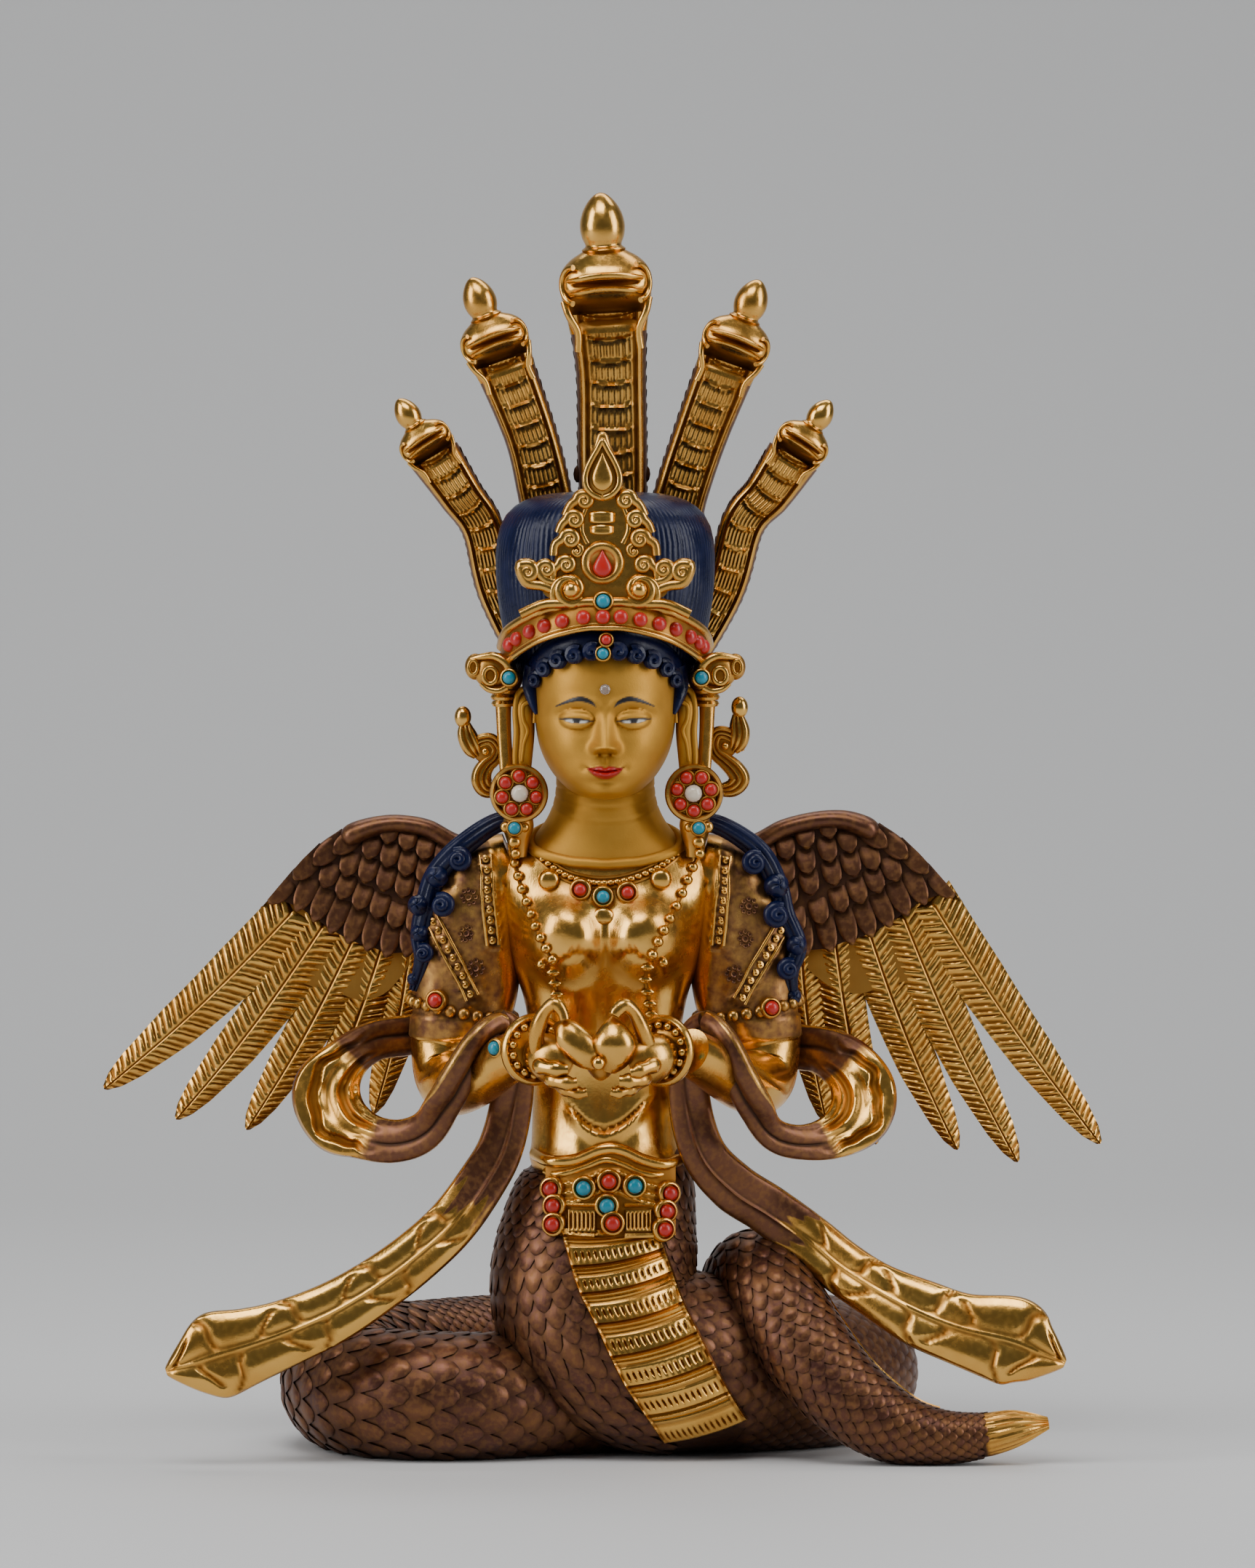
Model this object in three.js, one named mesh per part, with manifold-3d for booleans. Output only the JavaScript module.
// A gilt copper naga kanya: a winged lady with a crown and a fan of five serpents, whose body below the
// waist is a scaled serpent coiled on the ground. Millimetres, +Z up, the front faces -Y, and left and
// right are the viewer's. Points are given from the body's upright axis, and the last lines set that
// axis in front of the middle of the coil, so that the origin is under the middle of the whole.
import * as THREE from "three";
import { mergeVertices } from "three/addons/utils/BufferGeometryUtils.js";
import Module from "manifold-3d";

const wasm = await Module();
wasm.setup();

// Driving dimensions
const BODY_Y = -11; // the body's upright axis, from the middle of the coil
const SEAT_GAP = 0.32; // between separate castings that touch
const STONE_GAP = 0.12; // between a stone and its setting
const FLOOR_CUT = 0.6; // the coil is ground flat this far up from its lowest curve
const TRIM = 0.2; // how far a face may be eased to spare slivers where solids join
const HEAD_Y = -5; // the head's middle line, and the hair's behind it
const HAIR_Y = 1.5;
const DIADEM_Y = -17.2; // the front of the diadem's plate is a little before this
const WING_Y = 12.4; // the middle of the wings' plates
const BEAD_R = 1.3; // a round coral or turquoise
const GEM_R = 1.5; // a larger one, on the belt and the armbands
const PEARL_R = 1.7; // a pearl, and the coral of the crown's medallion

// Colours of the finishes
const finish = (color, roughness, metalness) =>
  new THREE.MeshStandardMaterial({ color, roughness, metalness });
const GILT = finish(0xd09a3a, 0.3, 1);
const CORAL = finish(0xc0282a, 0.35, 0);
const TURQUOISE = finish(0x1290b4, 0.4, 0);
const PEARL = finish(0xe6dfcf, 0.25, 0);

const vec = ([x, y, z]) => new THREE.Vector3(x, y, z);

// A number or list read between the rows of a table, at t from 0 to 1, on a Catmull-Rom spline.
function between(rows, t) {
  const last = rows.length - 1;
  const at = Math.min(t * last, last - 1e-9);
  const i = Math.floor(at);
  const f = at - i;
  const row = (k) => rows[Math.min(Math.max(k, 0), last)];
  const ends = [row(i - 1), row(i), row(i + 1), row(i + 2)];
  const mix = ([a, b, c, d]) =>
    b + 0.5 * f * (c - a + f * (2 * a - 5 * b + 4 * c - d + f * (3 * (b - c) + d - a)));
  return ends[0].map((_, k) => mix(ends.map((r) => r[k])));
}

// Turns a geometry into a solid, with its faces pointing out.
function solid(geometry) {
  geometry.deleteAttribute("normal");
  geometry.deleteAttribute("uv");
  const merged = mergeVertices(geometry, 1e-4);
  const triVerts = new Uint32Array(merged.index.array);
  const p = merged.attributes.position;
  const corner = [new THREE.Vector3(), new THREE.Vector3(), new THREE.Vector3()];
  let volume = 0;
  for (let i = 0; i < triVerts.length; i += 3) {
    corner.forEach((c, k) => c.fromBufferAttribute(p, triVerts[i + k]));
    volume += corner[0].dot(corner[1].cross(corner[2]));
  }
  if (volume < 0) {
    for (let i = 0; i < triVerts.length; i += 3) {
      [triVerts[i + 1], triVerts[i + 2]] = [triVerts[i + 2], triVerts[i + 1]];
    }
  }
  const mesh = new wasm.Mesh({ numProp: 3, vertProperties: p.array, triVerts });
  return new wasm.Manifold(mesh);
}

const join = (solids) => solids.reduce((a, b) => a.add(b));

// A closed skin through rings of points, each ring as long as the next, with a fan at each end.
function skin(rings) {
  const sides = rings[0].length;
  const index = [];
  const points = rings.flat();
  rings.slice(1).forEach((_, r) => {
    for (let s = 0; s < sides; s += 1) {
      const [a, b] = [r * sides + s, r * sides + ((s + 1) % sides)];
      index.push(a, b, a + sides, b, b + sides, a + sides);
    }
  });
  const fan = (ring, start, turned) => {
    const middle = ring.reduce((sum, p) => sum.add(p), new THREE.Vector3());
    points.push(middle.divideScalar(sides));
    for (let s = 0; s < sides; s += 1) {
      const [a, b] = [start + s, start + ((s + 1) % sides)];
      index.push(...(turned ? [b, a, points.length - 1] : [a, b, points.length - 1]));
    }
  };
  fan(rings[0], 0, true);
  fan(rings.at(-1), (rings.length - 1) * sides, false);
  return solid(new THREE.BufferGeometry().setFromPoints(points).setIndex(index));
}

// A path through rows of [x, y, z, width radius, depth radius, ...width direction], read at steps + 1
// places. The section's width runs along the width direction, or is carried along without twist.
function along(rows, steps, start) {
  const at = Array.from({ length: steps + 1 }, (_, k) => between(rows, k / steps));
  let side = vec(start ?? [1, 0, 0]);
  return at.map((row, k) => {
    const next = vec(at[Math.min(k + 1, steps)]);
    const tangent = next.sub(vec(at[Math.max(k - 1, 0)])).normalize();
    if (row.length > 5) side = vec(row.slice(5, 8));
    side = side.clone().addScaledVector(tangent, -side.dot(tangent)).normalize();
    const depth = new THREE.Vector3().crossVectors(side, tangent);
    return { at: vec(row), width: row[3], thick: row[4], side, depth };
  });
}

// Carries a section of [across, deep] points, in shares of the two radii, along a path.
const sweep = (rows, steps, section, start, swell = 0) =>
  skin(
    along(rows, steps, start).map((r) =>
      section.map(([u, v]) =>
        r.at
          .clone()
          .addScaledVector(r.side, u * (r.width + swell))
          .addScaledVector(r.depth, v * (r.thick + swell)),
      ),
    ),
  );

const round = (sides) =>
  Array.from({ length: sides }, (_, k) => {
    const a = (2 * Math.PI * (k + 0.5)) / sides;
    return [Math.cos(a), Math.sin(a)];
  });
const STRAP = [[1, 0], [0.62, 1], [-0.62, 1], [-1, 0], [-0.62, -1], [0.62, -1]];

// An ellipsoid of half sizes, turned by Euler angles.
function egg(centre, size, sides = 8, rings = 5, turn = [0, 0, 0]) {
  const g = new THREE.SphereGeometry(1, sides, rings).rotateX(Math.PI / 2).scale(...size);
  const q = new THREE.Quaternion().setFromEuler(new THREE.Euler(...turn));
  return solid(g.applyQuaternion(q).translate(...centre));
}

// A lathe of [radius, height] rows that points along a direction.
function turned(centre, direction, rows, sides = 6) {
  const g = new THREE.LatheGeometry(rows.map(([r, h]) => new THREE.Vector2(r, h)), sides);
  const q = new THREE.Quaternion();
  q.setFromUnitVectors(new THREE.Vector3(0, 1, 0), vec(direction).normalize());
  return solid(g.applyQuaternion(q).translate(...centre));
}

// A flat outline in the XZ plane, thick in Y from front to back.
function plate(outline, front, back) {
  const shape = new THREE.Shape(outline.map(([x, z]) => new THREE.Vector2(x, z)));
  const g = new THREE.ExtrudeGeometry(shape, { depth: back - front, bevelEnabled: false });
  return solid(g.rotateX(Math.PI / 2).translate(0, back, 0));
}

const mirrored = (points) => points.map(([x, ...rest]) => [-x, ...rest]);
const sided = (side, [x, ...rest]) => [side * x, ...rest];
const SIDES = [-1, 1];
const FRONT = [0, -1, 0];

// Serpent body: rows of [x, y, z, width radius, depth radius], from inside the waist, down and to the
// right, round the back, past the left, behind the trunk, over the hump and out to the tail tip.
const SERPENT = [
  [0.9, 1, 61, 13.4, 11.5], [0.9, 1, 53, 15.8, 13], [-1, 0, 43, 18.4, 15], [-2.2, -1, 32, 19.4, 17],
  [1, -1.5, 23.5, 19, 18], [8.5, -1, 19.2, 18.2, 17.8], [18, 1, 17.6, 16.8, 16.8],
  [29, 6.5, 15.6, 15.2, 15.2], [40, 14, 14, 14, 14], [46, 26, 13.3, 13.3, 13.3],
  [40, 39, 13.2, 13.2, 13.2], [24, 47, 13, 13, 13], [3, 49, 12.9, 12.9, 12.9],
  [-19, 46, 12.8, 12.8, 12.8], [-37, 37, 12.6, 12.6, 12.6], [-47, 24, 12.5, 12.5, 12.5],
  [-48.5, 9, 12.3, 12.3, 12.3], [-41, -4, 12.2, 12.2, 12.2], [-27, -6.5, 12, 12, 12],
  [-11, 0.5, 11.7, 11.7, 11.7], [4, 8, 11.5, 11.2, 11.2], [16, 12.5, 15.5, 10.2, 10.2],
  [24, 11.5, 25, 9.2, 9.2], [28, 4, 34, 8.6, 8.6], [31.5, -4.5, 31, 8.5, 8.5],
  [37, -10, 22.5, 8.6, 8.6], [44.6, -14, 13.8, 7.9, 7.9], [53.5, -16, 7.8, 6.8, 6.8],
  [62, -17, 5.8, 5.3, 5.3], [70, -17, 6, 4.3, 4.3], [77, -16.5, 7.4, 3.5, 3.5],
  [83, -16, 8.3, 1.2, 1.2],
];
const serpent = (swell = 0) => sweep(SERPENT, 40, round(10), [1, 0, 0], swell);

// The gold belly plates: rows of [x, z, half width] down the front of the trunk. Each plate is a step
// that stands out further at its lower edge.
const BELLY = [
  [1, 55, 6.4], [1.2, 47, 6.8], [1.8, 39, 7.2], [4, 31, 7.6], [7.4, 22, 8], [12.4, 12, 8.4],
];
const BELLY_PLATES = 8;
const PLATE = { y: -9, deep: 9.7, step: 0.9, facing: [1, 0.12, -0.3] };
function bellyPlates() {
  const ribs = Array.from({ length: BELLY_PLATES * 2 }, (_, k) => {
    const low = k % 2;
    const [x, z, w] = between(BELLY, ((k >> 1) + low * 0.9) / BELLY_PLATES);
    return [x, PLATE.y - low * PLATE.step, z, w, PLATE.deep, ...PLATE.facing];
  });
  return sweep(ribs, ribs.length - 1, [[1, -0.2], [0.8, 0.72], [0, 1], [-0.8, 0.72], [-1, -0.2]]);
}

// Torso: rows of [height, half width, half depth], with the front pushed out over the breasts.
const TORSO = [
  [50, 13.5, 11], [56.5, 15.2, 12.2], [60, 13.9, 11.4], [70, 12.9, 10.2], [79, 13.6, 10.6],
  [87, 15.4, 11.4], [94, 17.8, 12.2], [101, 19.6, 12.6], [108, 21.4, 12], [113, 20.6, 10.6],
  [117, 14.6, 9.6], [120, 9.6, 8.6], [124, 8.8, 8.2], [133, 8.8, 8.2],
];
const BREAST = { x: 8.8, z: 99.5, spread: 5.2, rise: 5.5 };
// How far the breasts push the front out at a place.
function breasts(x, z) {
  const near = (side) => (x - side * BREAST.x) ** 2 + (z - BREAST.z) ** 2;
  const fall = (side) => Math.exp(-near(side) / (2 * BREAST.spread ** 2));
  return BREAST.rise * (fall(1) + fall(-1));
}
function torso(swell = 0) {
  const rings = TORSO.map(([z, a, b]) =>
    round(12).map(([u, v]) => {
      const x = u * (a + swell);
      return vec([x, v * (b + swell) - (v < 0 ? breasts(x, z) : 0), z]);
    }),
  );
  return skin(rings);
}

// Head: rows of [height, half width, front, back] from under the chin to inside the hair.
const HEAD = [
  [125.4, 4, -8.5, 4], [126.6, 6.6, -12.2, 7], [129.5, 9.6, -13.8, 9], [133.5, 11.9, -13.9, 10.5],
  [138, 13, -13.6, 11.5], [143, 13.3, -14, 12], [148, 13.2, -13.8, 12], [153, 12.6, -12.4, 12],
  [157, 11.5, -10.5, 11],
];
function head() {
  const rings = HEAD.map(([z, a, front, back]) =>
    round(12).map(([u, v]) => vec([u * a, HEAD_Y + (v < 0 ? -v * front : v * back), z])),
  );
  const y = HEAD_Y - 13.7;
  const nose = [
    [0, y + 1.2, 142.5, 1.1, 1], [0, y + 0.1, 139, 1.3, 1.3], [0, y - 1.3, 135.6, 1.9, 1.7],
    [0, y + 0.4, 134.4, 1.6, 1.2],
  ];
  const lip = (z, w) => egg([0, y + 0.5, z], [w, 1.2, 0.75], 6, 3);
  const lid = (side) => egg([side * 5.6, y + 1.7, 139.6], [3.4, 1.5, 1.3], 6, 3);
  const ear = (side) =>
    sweep(
      [[side * 13.6, HEAD_Y + 0.5, 146, 1.2, 1], [side * 15.2, HEAD_Y - 1, 142, 1.6, 2.4],
        [side * 15, HEAD_Y - 1.5, 136, 1.5, 1.8], [side * 15.6, HEAD_Y - 1.5, 129, 1.6, 1.2]],
      4, round(5),
    );
  return [
    skin(rings), sweep(nose, 4, round(5)), lip(131.6, 2.6), lip(130.4, 2.2),
    ...SIDES.flatMap((side) => [lid(side), ear(side)]),
  ];
}

// Hair: rows of [height, half width, half depth] of the tall rounded topknot, then the fringe and the
// curled locks over the shoulders.
const HAIR = [
  [130, 8, 7], [137, 12, 10], [144, 14.4, 12.4], [149, 17.6, 13], [154, 18.8, 14.5],
  [162, 20.2, 15.5], [170, 20.6, 15.8], [176, 20, 15.2], [180, 17.4, 13], [182, 12, 9],
];
const knot = () =>
  skin(HAIR.map(([z, a, b]) => round(14).map(([u, v]) => vec([u * a, HAIR_Y + v * b, z]))));
function hair() {
  const fringe = [
    [-13.4, HEAD_Y - 1, 136.5, 1.4, 1], [-13.2, HEAD_Y - 3, 143, 1.6, 1.5],
    [-11.5, HEAD_Y - 8.6, 149.5, 1.8, 1.8], [-5.5, HEAD_Y - 13, 152.6, 1.8, 1.9],
    [0, HEAD_Y - 14, 153.2, 1.8, 1.8],
  ];
  const whole = [...fringe, ...mirrored(fringe.slice(0, -1)).reverse()];
  return [knot(), sweep(whole, 10, round(5), [0, 0, 1])];
}
// Rows of [x, y, z, radius], the curls of one lock from the neck to its end.
const LOCKS = {
  left: [[-21, -4, 116.4, 2.4], [-26.8, -5, 112.6, 3.2], [-31.4, -3, 109.8, 2.8],
    [-34.4, -2, 105, 2.5], [-30.4, -7, 104.4, 3.1], [-34.6, -3, 98.6, 2.4], [-33.8, -4.4, 95, 2.6],
    [-36, -1.6, 88.8, 1.7]],
  right: [[21, -4, 116.4, 2.4], [27.4, -5, 112.4, 3.2], [31.8, -3.4, 108.4, 2.9],
    [32, -5.6, 102.8, 3.2], [35.4, -2.4, 97, 2.5], [34, -4.2, 92.4, 2.8], [35.2, -1.8, 86.4, 1.8]],
};
function lock(side, curls) {
  const rows = curls.flatMap(([x, y, z, r], k) => {
    const [x1, y1, z1, r1] = curls[Math.min(k + 1, curls.length - 1)];
    const waist = Math.min(r, r1) * 0.62;
    return [[x, y, z, r, r], [(x + x1) / 2, (y + y1) / 2 + 0.8, (z + z1) / 2, waist, waist]];
  });
  rows.pop();
  return sweep([[side * 15, -3, 118.4, 1.8, 1.8], ...rows], rows.length, round(6));
}

// Crown: a raised band round the forehead, its scrolled diadem and the ornaments at its ends.
const BAND_HALF = [
  [-18.6, -1.5, 151.9, 3.2, 0.8], [-17.4, -9, 154.6, 3.2, 0.8], [-12, -16, 158, 3.2, 0.8],
  [-5, -19.4, 160.2, 3.2, 0.8],
];
const BAND = [...BAND_HALF, [0, -20, 160.7, 3.2, 0.8], ...mirrored(BAND_HALF).reverse()];
const BAND_UP = [0, 0.35, 1];
const DIADEM_HALF = [
  [0, 194], [1.6, 191.4], [3.7, 185.4], [2.6, 181.6], [6, 182.4], [7.6, 179.4], [9.2, 175.4],
  [9.6, 170.8], [12, 169.6], [15, 170.6], [16.3, 167.8], [13.2, 165.8], [11.2, 164],
  [5, 162.4], [2, 162.2],
];
const DIADEM_FOOT = [[-7, 158], [7, 158], [5, 170], [-5, 170]];
// Each scroll of one side as [x, z, radius], the medallion and the jewel above it.
const SCROLLS = [[6.4, 164.8, 2.6], [14.4, 168, 1.7]];
const MEDALLION = { x: -0.5, z: 170, rows: [[0, 0], [3.4, 0], [3, 1.6], [0, 1.6]] };
const JEWEL = { z: 186.6, size: [2, 1.2, 4] };
const EAR_STONE = [18, -10.4, 148.1];
const CROWN_STONE = [-0.3, -20.4, 164.2];
const CROWN_STONE_OUT = [0, -1, 0.2];
function crown() {
  const band = sweep(BAND, 14, [[1, -1], [1, 1], [-1, 1], [-1, -1]], BAND_UP);
  const outline = [...DIADEM_HALF.slice(1).reverse(), DIADEM_HALF[0], ...mirrored(DIADEM_HALF.slice(1))];
  const scroll = (side, [x, z, r]) =>
    turned([side * x, DIADEM_Y - 1, z], FRONT, [[0, 0], [r, 0], [r * 0.8, 1.3], [0, 1.3]], 6);
  const rosette = (side) => [
    egg([side * 20.4, -8, 149.8], [3.7, 2, 2.5], 6, 4, [0, side * 0.3, 0]),
    turned(sided(side, EAR_STONE), [side * 0.2, -1, 0], SETTING),
    sweep([[side * 17.2, -4.5, 148, 1.6, 1.4], [side * 17.8, -4.5, 136, 1.3, 1],
      [side * 16.8, -5.5, 129, 1.2, 1]], 3, round(4)),
  ];
  return [
    band, plate(outline, DIADEM_Y - 1.2, DIADEM_Y + 1.6),
    plate(DIADEM_FOOT, DIADEM_Y, -11),
    turned([MEDALLION.x, DIADEM_Y - 1, MEDALLION.z], FRONT, MEDALLION.rows, 8),
    egg([0, DIADEM_Y - 1, JEWEL.z], JEWEL.size, 6, 4),
    turned(CROWN_STONE, CROWN_STONE_OUT, SETTING),
    ...SIDES.flatMap((side) => [...SCROLLS.map((row) => scroll(side, row)), ...rosette(side)]),
  ];
}

// The flame of scrolls behind each ear: half the points run up its inner edge, half down its outer.
const FLAME = [
  [18.4, 125], [18.8, 130], [19.6, 133.6], [21.8, 135.4], [22.2, 139], [24, 141], [24.2, 144],
  [26, 143.6], [26.6, 139], [27, 134.6], [24.8, 131.6], [27, 128], [25.6, 124.6], [22, 123],
];
const flame = (side) => [
  plate(side > 0 ? FLAME : mirrored(FLAME).reverse(), -4.4, -1.6),
  sweep([[side * 7, -3, 130, 2.4, 1], [side * 22, -3, 130, 2.4, 1]], 2, round(4), [0, 0, 1]),
];

const SETTING = [[0, -3], [2.1, -3], [1.8, 0], [0, 0]];
const EARRING = { x: 16.4, y: -9.6, z: 126.3, r: 5 };
const dropAt = (side) => [side * (EARRING.x + 0.8), EARRING.y - 0.2, EARRING.z - 6.8];
function earring(side) {
  const { x, y, z, r } = EARRING;
  const disc = [[0, -2.4], [r * 0.8, -2.4], [r, -0.8], [r * 0.9, 0], [0, 0]];
  return [
    turned([side * x, y, z], FRONT, disc, 10),
    turned(dropAt(side), FRONT, SETTING, 6),
    egg([side * (x - 0.4), y + 3, z - 4], [2.6, 3.4, 5], 6, 3),
  ];
}

// Arms: rows of [x, y, z, radius, radius] from the shoulder, past the armband and the elbow, to the
// bracelet and into the palm. A pair of close rows is a step, where a band starts or ends.
const ARM = [
  [19, 1, 110.5, 7.6, 7.4], [24.5, 0.5, 106, 8.2, 7.6], [27.8, 0.6, 96, 8, 7.4],
  [29.1, 1, 88, 7, 6.9], [29.2, 1, 87.8, 7.7, 7.7], [29.6, 1.2, 83.6, 7.7, 7.7],
  [29.7, 1.2, 83.4, 6.8, 6.8], [30.4, 2, 77, 6.2, 6.4], [29.4, -1.5, 70.6, 5.9, 6.2],
  [25.4, -10, 72, 5.4, 5.4], [20, -19, 76, 4.7, 4.7], [14.9, -25.6, 79.2, 4.2, 4.2],
  [14.8, -25.8, 79.3, 6, 6], [13.4, -27.6, 79.8, 6.4, 6.4], [12.2, -29.2, 80.2, 6, 6],
  [12, -29.4, 80.3, 4, 4], [9.6, -32, 80.6, 3, 3],
];
const armRows = (side) => (side > 0 ? ARM : mirrored(ARM));
const arm = (side, swell = 0) =>
  sweep(armRows(side), ARM.length - 1, round(8), [1, 0, 0], swell);
const ARM_STONE = [31.6, -6.6, 86];
const boss = (side) => turned(sided(side, ARM_STONE), FRONT, SETTING);

// Hands: rows of [x, y, z, radius, radius] for each finger of one hand, the other being mirrored.
const FINGERS = [
  [[11, -33, 78.7, 1.7, 1.7], [11.6, -35, 84.2, 1.4, 1.4], [8.6, -36, 89.2, 1.4, 1.4],
    [4.4, -36, 88.2, 1.3, 1.3]],
  [[11, -34, 77.7, 1.7, 1.7], [10, -37.6, 78.8, 1.5, 1.5], [6.4, -38, 77.8, 1.4, 1.4]],
  [[10, -34, 75.8, 1.7, 1.7], [7.4, -37, 75.6, 1.5, 1.5], [3.6, -37, 75.8, 1.4, 1.4]],
  [[9, -33, 73.8, 1.6, 1.6], [6, -35, 73.0, 1.4, 1.4], [2.2, -35, 73.2, 1.3, 1.3]],
];
const hand = (side) => [
  egg([side * 9.4, -31.6, 79], [4.4, 4.6, 5], 6, 4, [0, side * 0.4, 0]),
  ...FINGERS.map((rows) => sweep(side > 0 ? rows : mirrored(rows), 3, round(4))),
];

// The shell held in both hands: two lobes that meet at a knob.
const shell = () => [
  egg([-5, -34, 81.2], [5, 2.8, 2.9], 6, 4, [0, 0.75, 0]),
  sweep([[2, -33.6, 75.4, 2.2, 2], [2.1, -34, 79, 3.6, 3.2], [2.2, -34, 84, 2.4, 2.4],
    [2.1, -34, 87.8, 0.5, 0.5]], 5, round(6)),
  egg([0, -31, 76], [6, 4, 4.4], 6, 4),
];

// Jewellery: rows of [x, z] for one half of the collar and of the long string of beads.
const frontOf = (x, z) => {
  const [, a, b] = between(TORSO, TORSO.findLastIndex((r) => r[0] <= z) / (TORSO.length - 1));
  const flat = b * Math.sqrt(Math.max(0.05, 1 - (x / a) ** 2));
  return -flat - breasts(x, z);
};
const COLLAR = [[-12.4, 119], [-8.6, 114], [-4, 111.6], [0, 111]];
const STRING = [[14.6, 116.5], [13.4, 110], [11.6, 104], [9, 98.6], [7, 93.6], [7, 88]];
const STRING_BEADS = 8;
function jewellery() {
  const half = COLLAR.map(([x, z]) => [x, frontOf(x, z) + 0.4, z, 1.3, 1.1]);
  const collar = sweep([...half, ...mirrored(half.slice(0, -1)).reverse()], 8, round(4), [0, 0, 1]);
  const string = (side) => {
    const steps = STRING_BEADS * 2;
    const rows = Array.from({ length: steps + 1 }, (_, k) => {
      const [x, z] = between(STRING, k / steps);
      const r = k % 2 ? 1.3 : 0.8;
      return [side * x, frontOf(x, z) + 0.2, z, r, r];
    });
    return sweep(rows, steps, round(4));
  };
  const waves = [[-15, -1, 56.4], [-10, -9.4, 58], [-4.5, -11.6, 60], [0.6, -12, 61]];
  const edge = waves.map((p) => [...p, 1.3, 1.1]);
  const hem = sweep([...edge, ...mirrored(edge.slice(0, -1)).reverse()], 8, round(4), [0, 0, 1]);
  return [
    collar, hem, string(-1), string(1),
    ...[...BELT, ...NECK].map((p) => turned(p, outward(p), SETTING, 5)),
    egg([0, -11.8, 103.4], [1.7, 1.6, 2.6], 6, 3),
  ];
}
// Rows of [x, y, z]: where the stones of the belt and the collar are set.
const BELT = [
  [-10.2, -11.8, 52.4], [-9.9, -12.8, 49.2], [-9.9, -13.6, 45.8], [12.2, -10.8, 51.6],
  [11.7, -12, 48.2], [11.3, -12.8, 44.8], [0.7, -14.6, 54.2], [-4.1, -14.4, 52.8],
  [5.6, -13.4, 53.2], [0.3, -15.6, 49.6], [1.4, -15.4, 46.2],
];
const NECK = [[-0.4, -14.2, 107.2], [-4.6, -13.8, 108.4], [4, -13.8, 108]];
const outward = ([x]) => [x * 0.05, -1, 0];

// Hood: rows of [x, y, z, half width, half thickness] up each serpent's neck, from the middle out.
const HOOD = [
  { long: 22.7, wide: 8.4, neck: [[0.8, 20.9, 158, 5, 3], [1.4, 20.9, 176, 6.2, 3.2],
    [1.3, 18.6, 188, 6.6, 3.2], [1.1, 14.4, 203.5, 6.6, 3.2], [0.4, 9.6, 215.4, 7.5, 3.2]] },
  { long: 16.7, wide: 6.3, neck: [[-8, 20.4, 158, 3.6, 2.8], [-10.4, 20.2, 174, 5, 3],
    [-11.7, 18.4, 182, 5.1, 3], [-14.2, 15, 192.4, 5, 3], [-19.4, 10, 206.4, 5.6, 3]] },
  { long: 16.7, wide: 6.3, neck: [[10, 20.4, 158, 3.6, 2.8], [12.8, 20.2, 174, 5, 3],
    [14.6, 18.4, 182, 5.1, 3], [18.2, 15, 193, 5.2, 3], [23.1, 10, 206, 5.7, 3]] },
  { long: 12.6, wide: 5, neck: [[-12, 20, 145, 3.6, 2.6], [-20, 16.8, 162, 4, 3],
    [-23.2, 15, 174.6, 4, 3], [-27.3, 12.6, 181, 4.3, 3], [-32.2, 9.6, 188.6, 5, 3]] },
  { long: 12.6, wide: 5, neck: [[12.6, 20, 145, 3.6, 2.6], [22, 16.8, 162, 4, 3],
    [26, 15, 175.4, 4.2, 3], [30.8, 12.6, 181.4, 4.6, 3], [35.4, 9.6, 188.4, 5.2, 3]] },
];
const NECK_SECTION = [[1, 0.3], [0.8, 1], [-0.8, 1], [-1, 0.3], [-0.7, -1], [0.7, -1]];
// Above each neck, in shares of the head's length: height, forward shift, half width, half depth. The
// half width of the jaws is a share of the head's own, and the bud on top is round.
const JAWS = [[0.14, -0.06, 0.94, 0.2], [0.3, -0.1, 1, 0.25], [0.44, -0.07, 0.74, 0.17]];
const BUD = [[0.54, -0.04, 0.14], [0.7, -0.05, 0.185], [0.87, -0.05, 0.13], [1, -0.06, 0.03]];
function hoodSerpent({ neck, long, wide }) {
  const [x, y, z] = neck.at(-1);
  const [x0, , z0] = neck.at(-2);
  const up = vec([x - x0, 0, z - z0]).setLength(long);
  const on = (h, d) => [x + up.x * h, y + d * long, z + up.z * h];
  const rows = [
    ...neck,
    ...JAWS.map(([h, d, w, t]) => [...on(h, d), w * wide, t * long]),
    ...BUD.map(([h, d, r]) => [...on(h, d), r * long, r * long]),
  ];
  return sweep(rows, rows.length - 1, NECK_SECTION);
}
const KEEL = [
  [0, 14.8, 106, 4, 2.4], [0, 15.2, 120, 6, 2.6], [0, 17.8, 132, 10, 2.8], [0.4, 20.2, 144, 14, 2.8],
  [0.8, 20.9, 156, 13, 2.8], [1.4, 20.9, 168, 11, 2.6],
];
const hood = () => join([sweep(KEEL, 5, STRAP), ...HOOD.map(hoodSerpent)]).simplify(TRIM);

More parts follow.
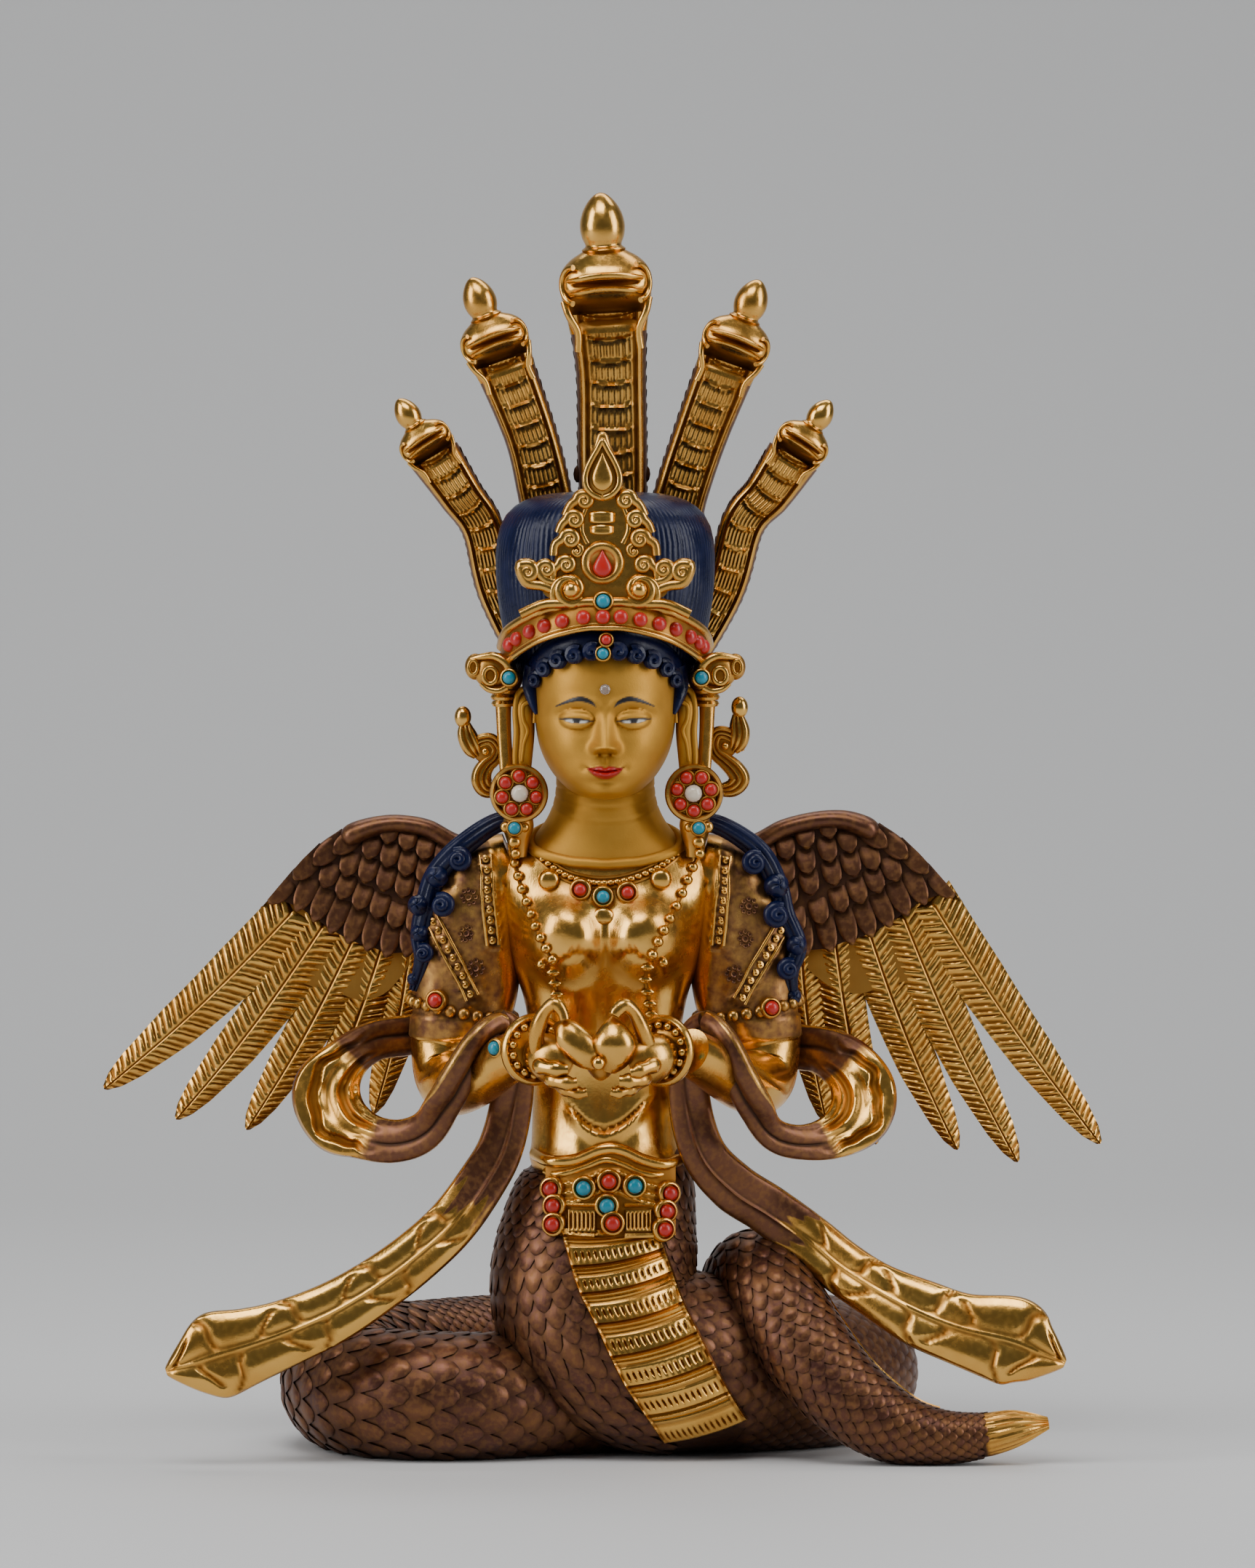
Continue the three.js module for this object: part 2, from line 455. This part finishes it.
// Wings: the outline of the covert plate in [x, z], and each long feather from root to tip.
const WINGS = {
  left: {
    coverts: [[-12, 115.8], [-27, 117.4], [-38.6, 120.8], [-46, 120.4], [-51.4, 118.2], [-59.4, 109.4],
      [-64, 101.8], [-57.4, 98.8], [-50.6, 94.8], [-43, 92.8], [-36, 93.4], [-24, 96.8], [-12, 102]],
    feathers: [[-61, 100.3, -94.8, 68.4], [-54.6, 97.8, -81.2, 62.6], [-48.4, 95.6, -67.9, 60.6],
      [-42.6, 94.8, -56.2, 60.2], [-37, 95.8, -43.8, 63.6]],
  },
  right: {
    coverts: [[12, 115.8], [30, 116.8], [38, 120.4], [45, 121.4], [51.6, 120.4], [57.4, 116.0],
      [61.8, 110.0], [66.4, 103.2], [60.4, 99.8], [52.6, 96.4], [44.4, 94.2], [36, 93.4], [24, 96.8],
      [12, 102]],
    feathers: [[63.2, 101.8, 93.6, 58.0], [57.2, 99.2, 78, 54.5], [50.4, 96.8, 66.6, 56.8],
      [43.6, 95.8, 51.2, 57.8], [37, 95.8, 41.9, 61.6]],
  },
};
function wing(side, { coverts, feathers }) {
  const ordered = side > 0 ? coverts : coverts.slice().reverse();
  const long = feathers.map(([x0, z0, x1, z1], i) => {
    const [dx, dz] = [x1 - x0, z1 - z0];
    const at = (t, w, y) => [x0 + dx * t, WING_Y + y, z0 + dz * t, w, 1.5, -dz, 0, dx];
    const wide = 5 - i * 0.2;
    const rows = [at(0, wide, 0), at(0.33, wide, 0.4), at(0.66, wide * 0.82, 1.2),
      at(0.93, wide * 0.48, 2.2), at(1, wide * 0.16, 2.4)];
    return sweep(rows, 5, [[1, -0.4], [0, 1], [-1, -0.4], [0, -0.8]]);
  });
  return join([plate(ordered, WING_Y - 1.5, WING_Y + 1.8), ...long]).simplify(TRIM);
}

// Scarves: rows of [x, y, z, half width, half thickness, ...width direction], from behind the upper
// arm, out round the loop, over the forearm, and down past the waist to the ribbon's end.
const SCARF = {
  left: [
    [-29, 10, 80.4, 3.6, 1.5, 0, 0, 1], [-37, 7.6, 79.2, 3.9, 1.6, 0.1, 0, 1],
    [-43.5, 4, 78, 4.2, 1.6, -0.3, -0.1, 0.9], [-48.8, 0, 74.6, 4.9, 1.6, -0.7, -0.2, 0.7],
    [-52.7, -3, 69.6, 6.2, 1.6, -1, -0.2, 0], [-50.5, -6, 64, 5.9, 1.6, -0.8, -0.1, -0.6],
    [-46, -8, 62, 4.8, 1.6, -0.4, -0.1, -0.9], [-40, -10.6, 61, 4.3, 1.6, -0.1, 0, -1],
    [-34.6, -13.4, 63, 4.2, 1.5, 0.4, 0.1, -0.9], [-30.4, -17, 68.4, 3.8, 1.5, 0.7, 0.5, -0.5],
    [-27.6, -19.6, 74, 3.6, 1.4, 0.7, 0.7, -0.2], [-23.6, -19.4, 80.4, 3.4, 1.3, 0.6, 0.75, 0],
    [-19.4, -15.4, 82.6, 3.4, 1.3, 0.6, 0.75, 0], [-17, -10.6, 77.6, 3.6, 1.4, 0.9, 0.4, 0],
    [-17.6, -8.6, 68, 4, 1.5, 1, 0, 0], [-19.6, -9, 59.6, 4.3, 1.6, 1, 0, -0.3],
    [-23, -10.6, 53.4, 4.6, 1.6, 0.8, 0, -0.6], [-28.6, -13, 45.8, 4.8, 1.6, 0.7, -0.05, -0.7],
    [-35.4, -15.4, 39.6, 5, 1.6, 0.65, -0.1, -0.75], [-43.2, -17.4, 34, 5.3, 1.6, 0.6, -0.1, -0.8],
    [-51, -19, 29.4, 5.8, 1.6, 0.5, -0.15, -0.85], [-59.4, -20, 25.8, 6.3, 1.6, 0.45, -0.15, -0.9],
    [-66.4, -20.6, 23.4, 7.2, 1.6, 0.42, -0.15, -0.9], [-72.8, -21, 21.6, 8.5, 1.6, 0.38, -0.15, -0.9],
    [-77.4, -21, 20, 6.8, 1.5, 0.38, -0.15, -0.9], [-81.4, -21, 18.6, 2.2, 1.2, 0.38, -0.15, -0.9],
  ],
  right: [
    [29, 10, 79, 3.8, 1.5, 0, 0, 1], [36, 7.6, 77, 4.4, 1.6, -0.1, 0, 1],
    [42.4, 4, 76.2, 4.5, 1.6, 0.3, -0.1, 0.9], [46.6, 0, 73.6, 5.2, 1.6, 0.7, -0.2, 0.7],
    [48.6, -3, 69.4, 6.1, 1.6, 1, -0.2, 0], [47.8, -6, 65, 5.8, 1.6, 0.85, -0.1, -0.5],
    [43.8, -8, 62, 4.6, 1.6, 0.4, -0.1, -0.9], [38.4, -10.6, 61.2, 4, 1.6, 0.1, 0, -1],
    [32.8, -13.4, 62.6, 4, 1.5, -0.4, 0.1, -0.9], [28.6, -17, 67.4, 3.8, 1.5, -0.7, 0.5, -0.5],
    [25.6, -19.6, 73.4, 3.6, 1.4, -0.7, 0.7, -0.2], [22.4, -19.4, 80, 3.4, 1.3, -0.6, 0.75, 0],
    [18.8, -15.4, 82.4, 3.4, 1.3, -0.6, 0.75, 0], [16, -11, 77.6, 3.6, 1.4, -0.9, 0.4, 0],
    [15.8, -9.4, 68, 4, 1.5, -1, 0, 0], [18.4, -9.4, 58.6, 4.3, 1.6, -0.9, 0, -0.4],
    [24, -6.4, 51.8, 4.8, 1.6, -0.7, 0, -0.7], [30.6, -3.6, 47.2, 4.8, 1.6, -0.6, 0, -0.75],
    [38, -3.4, 41.6, 5, 1.6, -0.6, -0.1, -0.75], [44.4, -6, 36.6, 5.1, 1.6, -0.55, -0.1, -0.8],
    [50.6, -9.4, 32.8, 5.3, 1.6, -0.5, -0.15, -0.85], [58.8, -13, 28.8, 6.4, 1.6, -0.45, -0.15, -0.9],
    [66.7, -16, 26, 6.9, 1.6, -0.42, -0.15, -0.9], [76.4, -18, 23.8, 8.6, 1.6, -0.4, -0.15, -0.9],
    [81.2, -18.6, 21.6, 6.8, 1.5, -0.4, -0.15, -0.9], [85.4, -19, 20, 2.2, 1.2, -0.4, -0.15, -0.9],
  ],
};
function scarf(side, rows) {
  return sweep(rows, 28, STRAP)
    .subtract(arm(side, SEAT_GAP))
    .subtract(torso(SEAT_GAP))
    .subtract(serpent(SEAT_GAP))
    .simplify(TRIM);
}

// The figure is one casting: everything that isn't a wing, the hood, a scarf or a set stone.
function figure() {
  const floor = new THREE.BoxGeometry(400, 400, 40).translate(0, 0, FLOOR_CUT - 20);
  return join([
    serpent(), bellyPlates(), torso(), ...head(), ...hair(), ...crown(), ...shell(), ...jewellery(),
    lock(-1, LOCKS.left), lock(1, LOCKS.right),
    ...SIDES.flatMap((side) => [
      ...flame(side), ...earring(side), arm(side), boss(side), ...hand(side),
    ]),
  ])
    .subtract(solid(floor))
    .simplify(TRIM);
}

// A cut stone, a low dome that stands its gap off a flat setting and points along a direction.
function stone([x, y, z], direction, radius, high = 0.7) {
  const rows = [[0, 0], [radius, 0], [radius * 0.8, radius * high * 0.7], [0, radius * high]];
  const away = vec(direction).setLength(STONE_GAP);
  return turned([x + away.x, y + away.y, z + away.z], direction, rows, 5);
}

// The other stones: [name, place, direction, radius, finish].
const belt = (k) => [BELT[k], outward(BELT[k])];
const neckline = (k) => [NECK[k], outward(NECK[k])];
const STONES = [
  ["crown_turquoise", CROWN_STONE, CROWN_STONE_OUT, BEAD_R, TURQUOISE],
  ["medallion_coral", [MEDALLION.x, DIADEM_Y - 2.6, MEDALLION.z], FRONT, PEARL_R, CORAL],
  ["collar_turquoise", ...neckline(0), BEAD_R, TURQUOISE],
  ["collar_coral_left", ...neckline(1), BEAD_R, CORAL],
  ["collar_coral_right", ...neckline(2), BEAD_R, CORAL],
  ...[0, 1, 2, 3, 4, 5].map((k) => [`belt_coral_${k + 1}`, ...belt(k), GEM_R, CORAL]),
  ["belt_coral_7", ...belt(6), GEM_R, CORAL],
  ["belt_turquoise_left", ...belt(7), GEM_R, TURQUOISE],
  ["belt_turquoise_right", ...belt(8), GEM_R, TURQUOISE],
  ["belt_turquoise_middle", ...belt(9), GEM_R, TURQUOISE],
  ["belt_coral_8", ...belt(10), GEM_R, CORAL],
  ...SIDES.flatMap((side) => {
    const end = side < 0 ? "left" : "right";
    const { x, y, z } = EARRING;
    return [
      [`ear_turquoise_${end}`, sided(side, EAR_STONE), [side * 0.2, -1, 0], BEAD_R, TURQUOISE],
      [`pearl_${end}`, [side * x, y, z], FRONT, PEARL_R, PEARL],
      [`drop_turquoise_${end}`, dropAt(side), FRONT, BEAD_R, TURQUOISE],
      [`armband_coral_${end}`, sided(side, ARM_STONE), FRONT, GEM_R, CORAL],
    ];
  }),
];

// Where the row of round corals stands along the crown's band, in shares of its length.
const BAND_STONES = 14;
function bandStones() {
  return Array.from({ length: BAND_STONES }, (_, k) => {
    const t = (k + 1) / (BAND_STONES + 1);
    const [x, y, z, , thick] = between(BAND, t);
    const [x1, y1] = between(BAND, t + 0.01);
    const out = new THREE.Vector3(y1 - y, x - x1, 0).setLength(thick + 0.3);
    return stone([x + out.x, y + out.y, z], [out.x, out.y, BAND_UP[1]], BEAD_R, 0.8);
  });
}

function geometryOf(made) {
  const { vertProperties, triVerts } = made.getMesh();
  const g = new THREE.BufferGeometry();
  g.setAttribute("position", new THREE.BufferAttribute(vertProperties, 3));
  g.setIndex(new THREE.BufferAttribute(triVerts, 1));
  g.computeVertexNormals();
  return g;
}

const statue = new THREE.Group();
statue.position.set(0, BODY_Y, -FLOOR_CUT);
function add(name, made, material) {
  const g = made.isBufferGeometry ? made : geometryOf(made);
  const mesh = new THREE.Mesh(g, material);
  mesh.name = name;
  statue.add(mesh);
}

add("figure", figure(), GILT);
add("wing_left", wing(-1, WINGS.left), GILT);
add("wing_right", wing(1, WINGS.right), GILT);
add("serpent_hood", hood(), GILT);
add("scarf_left", scarf(-1, SCARF.left), GILT);
add("scarf_right", scarf(1, SCARF.right), GILT);
bandStones().forEach((made, k) => add(`crown_coral_${k + 1}`, made, CORAL));
STONES.forEach(([name, at, direction, radius, material]) =>
  add(name, stone(at, direction, radius), material),
);
export default statue;
